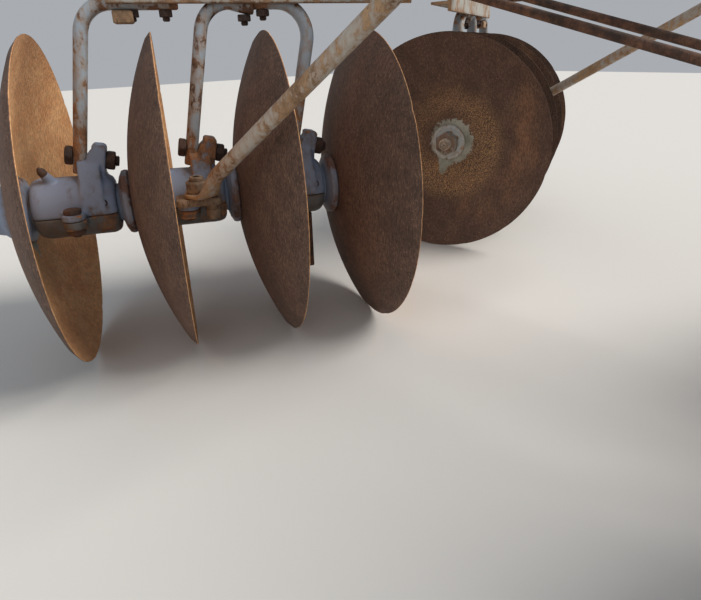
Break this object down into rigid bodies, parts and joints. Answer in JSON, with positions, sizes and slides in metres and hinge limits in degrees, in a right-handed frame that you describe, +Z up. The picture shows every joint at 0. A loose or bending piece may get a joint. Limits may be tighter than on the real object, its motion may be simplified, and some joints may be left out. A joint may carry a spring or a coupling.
{
  "type": "trailed tandem disc harrow",
  "caption": "Trailed tandem disc harrow: four gangs of dished discs turn under an angled steel frame, with a drawbar hinged at the front.",
  "frame": {"origin": "on the ground under the middle of the machine's overall box", "axes": "+X to the machine's right, +Y forwards to the hitch, +Z up"},
  "size_m": [1.563, 2.8417, 0.672],
  "materials": {
    "disc_steel": "dark pitted rust",
    "cast_grey": "worn blue-grey paint",
    "cast_dark": "oily dirty casting",
    "dark_bolt": "dark rust",
    "frame_paint": "flaking pale paint over rust",
    "rusty_pipe": "tan surface rust",
    "rusty_rod": "brown rust"
  },
  "bodies": {
    "frame": {"housings_fl": "cast_grey", "housings_fr": "cast_grey", "housings_rl": "cast_grey", "housings_rr": "cast_grey", "caps_fl": "cast_dark", "caps_fr": "cast_dark", "caps_rl": "cast_dark", "caps_rr": "cast_dark", "legs_fl": "frame_paint", "legs_fr": "frame_paint", "legs_rl": "frame_paint", "legs_rr": "frame_paint", "beam_fl": "frame_paint", "beam_fr": "frame_paint", "beam_rl": "frame_paint", "beam_rr": "frame_paint", "rails": "frame_paint", "rear_cross": "frame_paint", "mid_cross": "frame_paint", "front_cross": "frame_paint", "rear_struts": "rusty_pipe", "front_struts": "rusty_pipe", "strut_straps": "rusty_pipe", "brace_rods": "rusty_rod", "hangers": "frame_paint", "pivot_pin": "dark_bolt"},
    "gang_fl": {"discs_fl": "disc_steel", "spools_fl": "cast_grey", "gang_bolt_fl": "dark_bolt"},
    "gang_fr": {"discs_fr": "disc_steel", "spools_fr": "cast_grey", "gang_bolt_fr": "dark_bolt"},
    "gang_rl": {"discs_rl": "disc_steel", "spools_rl": "cast_grey", "gang_bolt_rl": "dark_bolt"},
    "gang_rr": {"discs_rr": "disc_steel", "spools_rr": "cast_grey", "gang_bolt_rr": "dark_bolt"},
    "drawbar_bar": {"drawbar": "frame_paint", "hitch_clevis": "rusty_rod"}
  },
  "joints": [
    {"name": "gang_fl_spin", "type": "hinge", "parent": "frame", "child": "gang_fl", "pos_m": [-0.19, 0.13828, 0.255], "axis": [-0.9063, 0.4226, 0], "continuous": true},
    {"name": "gang_fr_spin", "type": "hinge", "parent": "frame", "child": "gang_fr", "pos_m": [0.19, 0.13828, 0.255], "axis": [0.9063, 0.4226, 0], "continuous": true},
    {"name": "gang_rl_spin", "type": "hinge", "parent": "frame", "child": "gang_rl", "pos_m": [-0.66365, -1.18979, 0.255], "axis": [0.9063, 0.4226, 0], "continuous": true},
    {"name": "gang_rr_spin", "type": "hinge", "parent": "frame", "child": "gang_rr", "pos_m": [0.66365, -1.05979, 0.255], "axis": [-0.9063, 0.4226, 0], "continuous": true},
    {"name": "drawbar_swing", "type": "hinge", "parent": "frame", "child": "drawbar_bar", "pos_m": [0, 0.76308, 0.205], "axis": [1, 0, 0], "range_deg": [0, 35]}
  ]
}
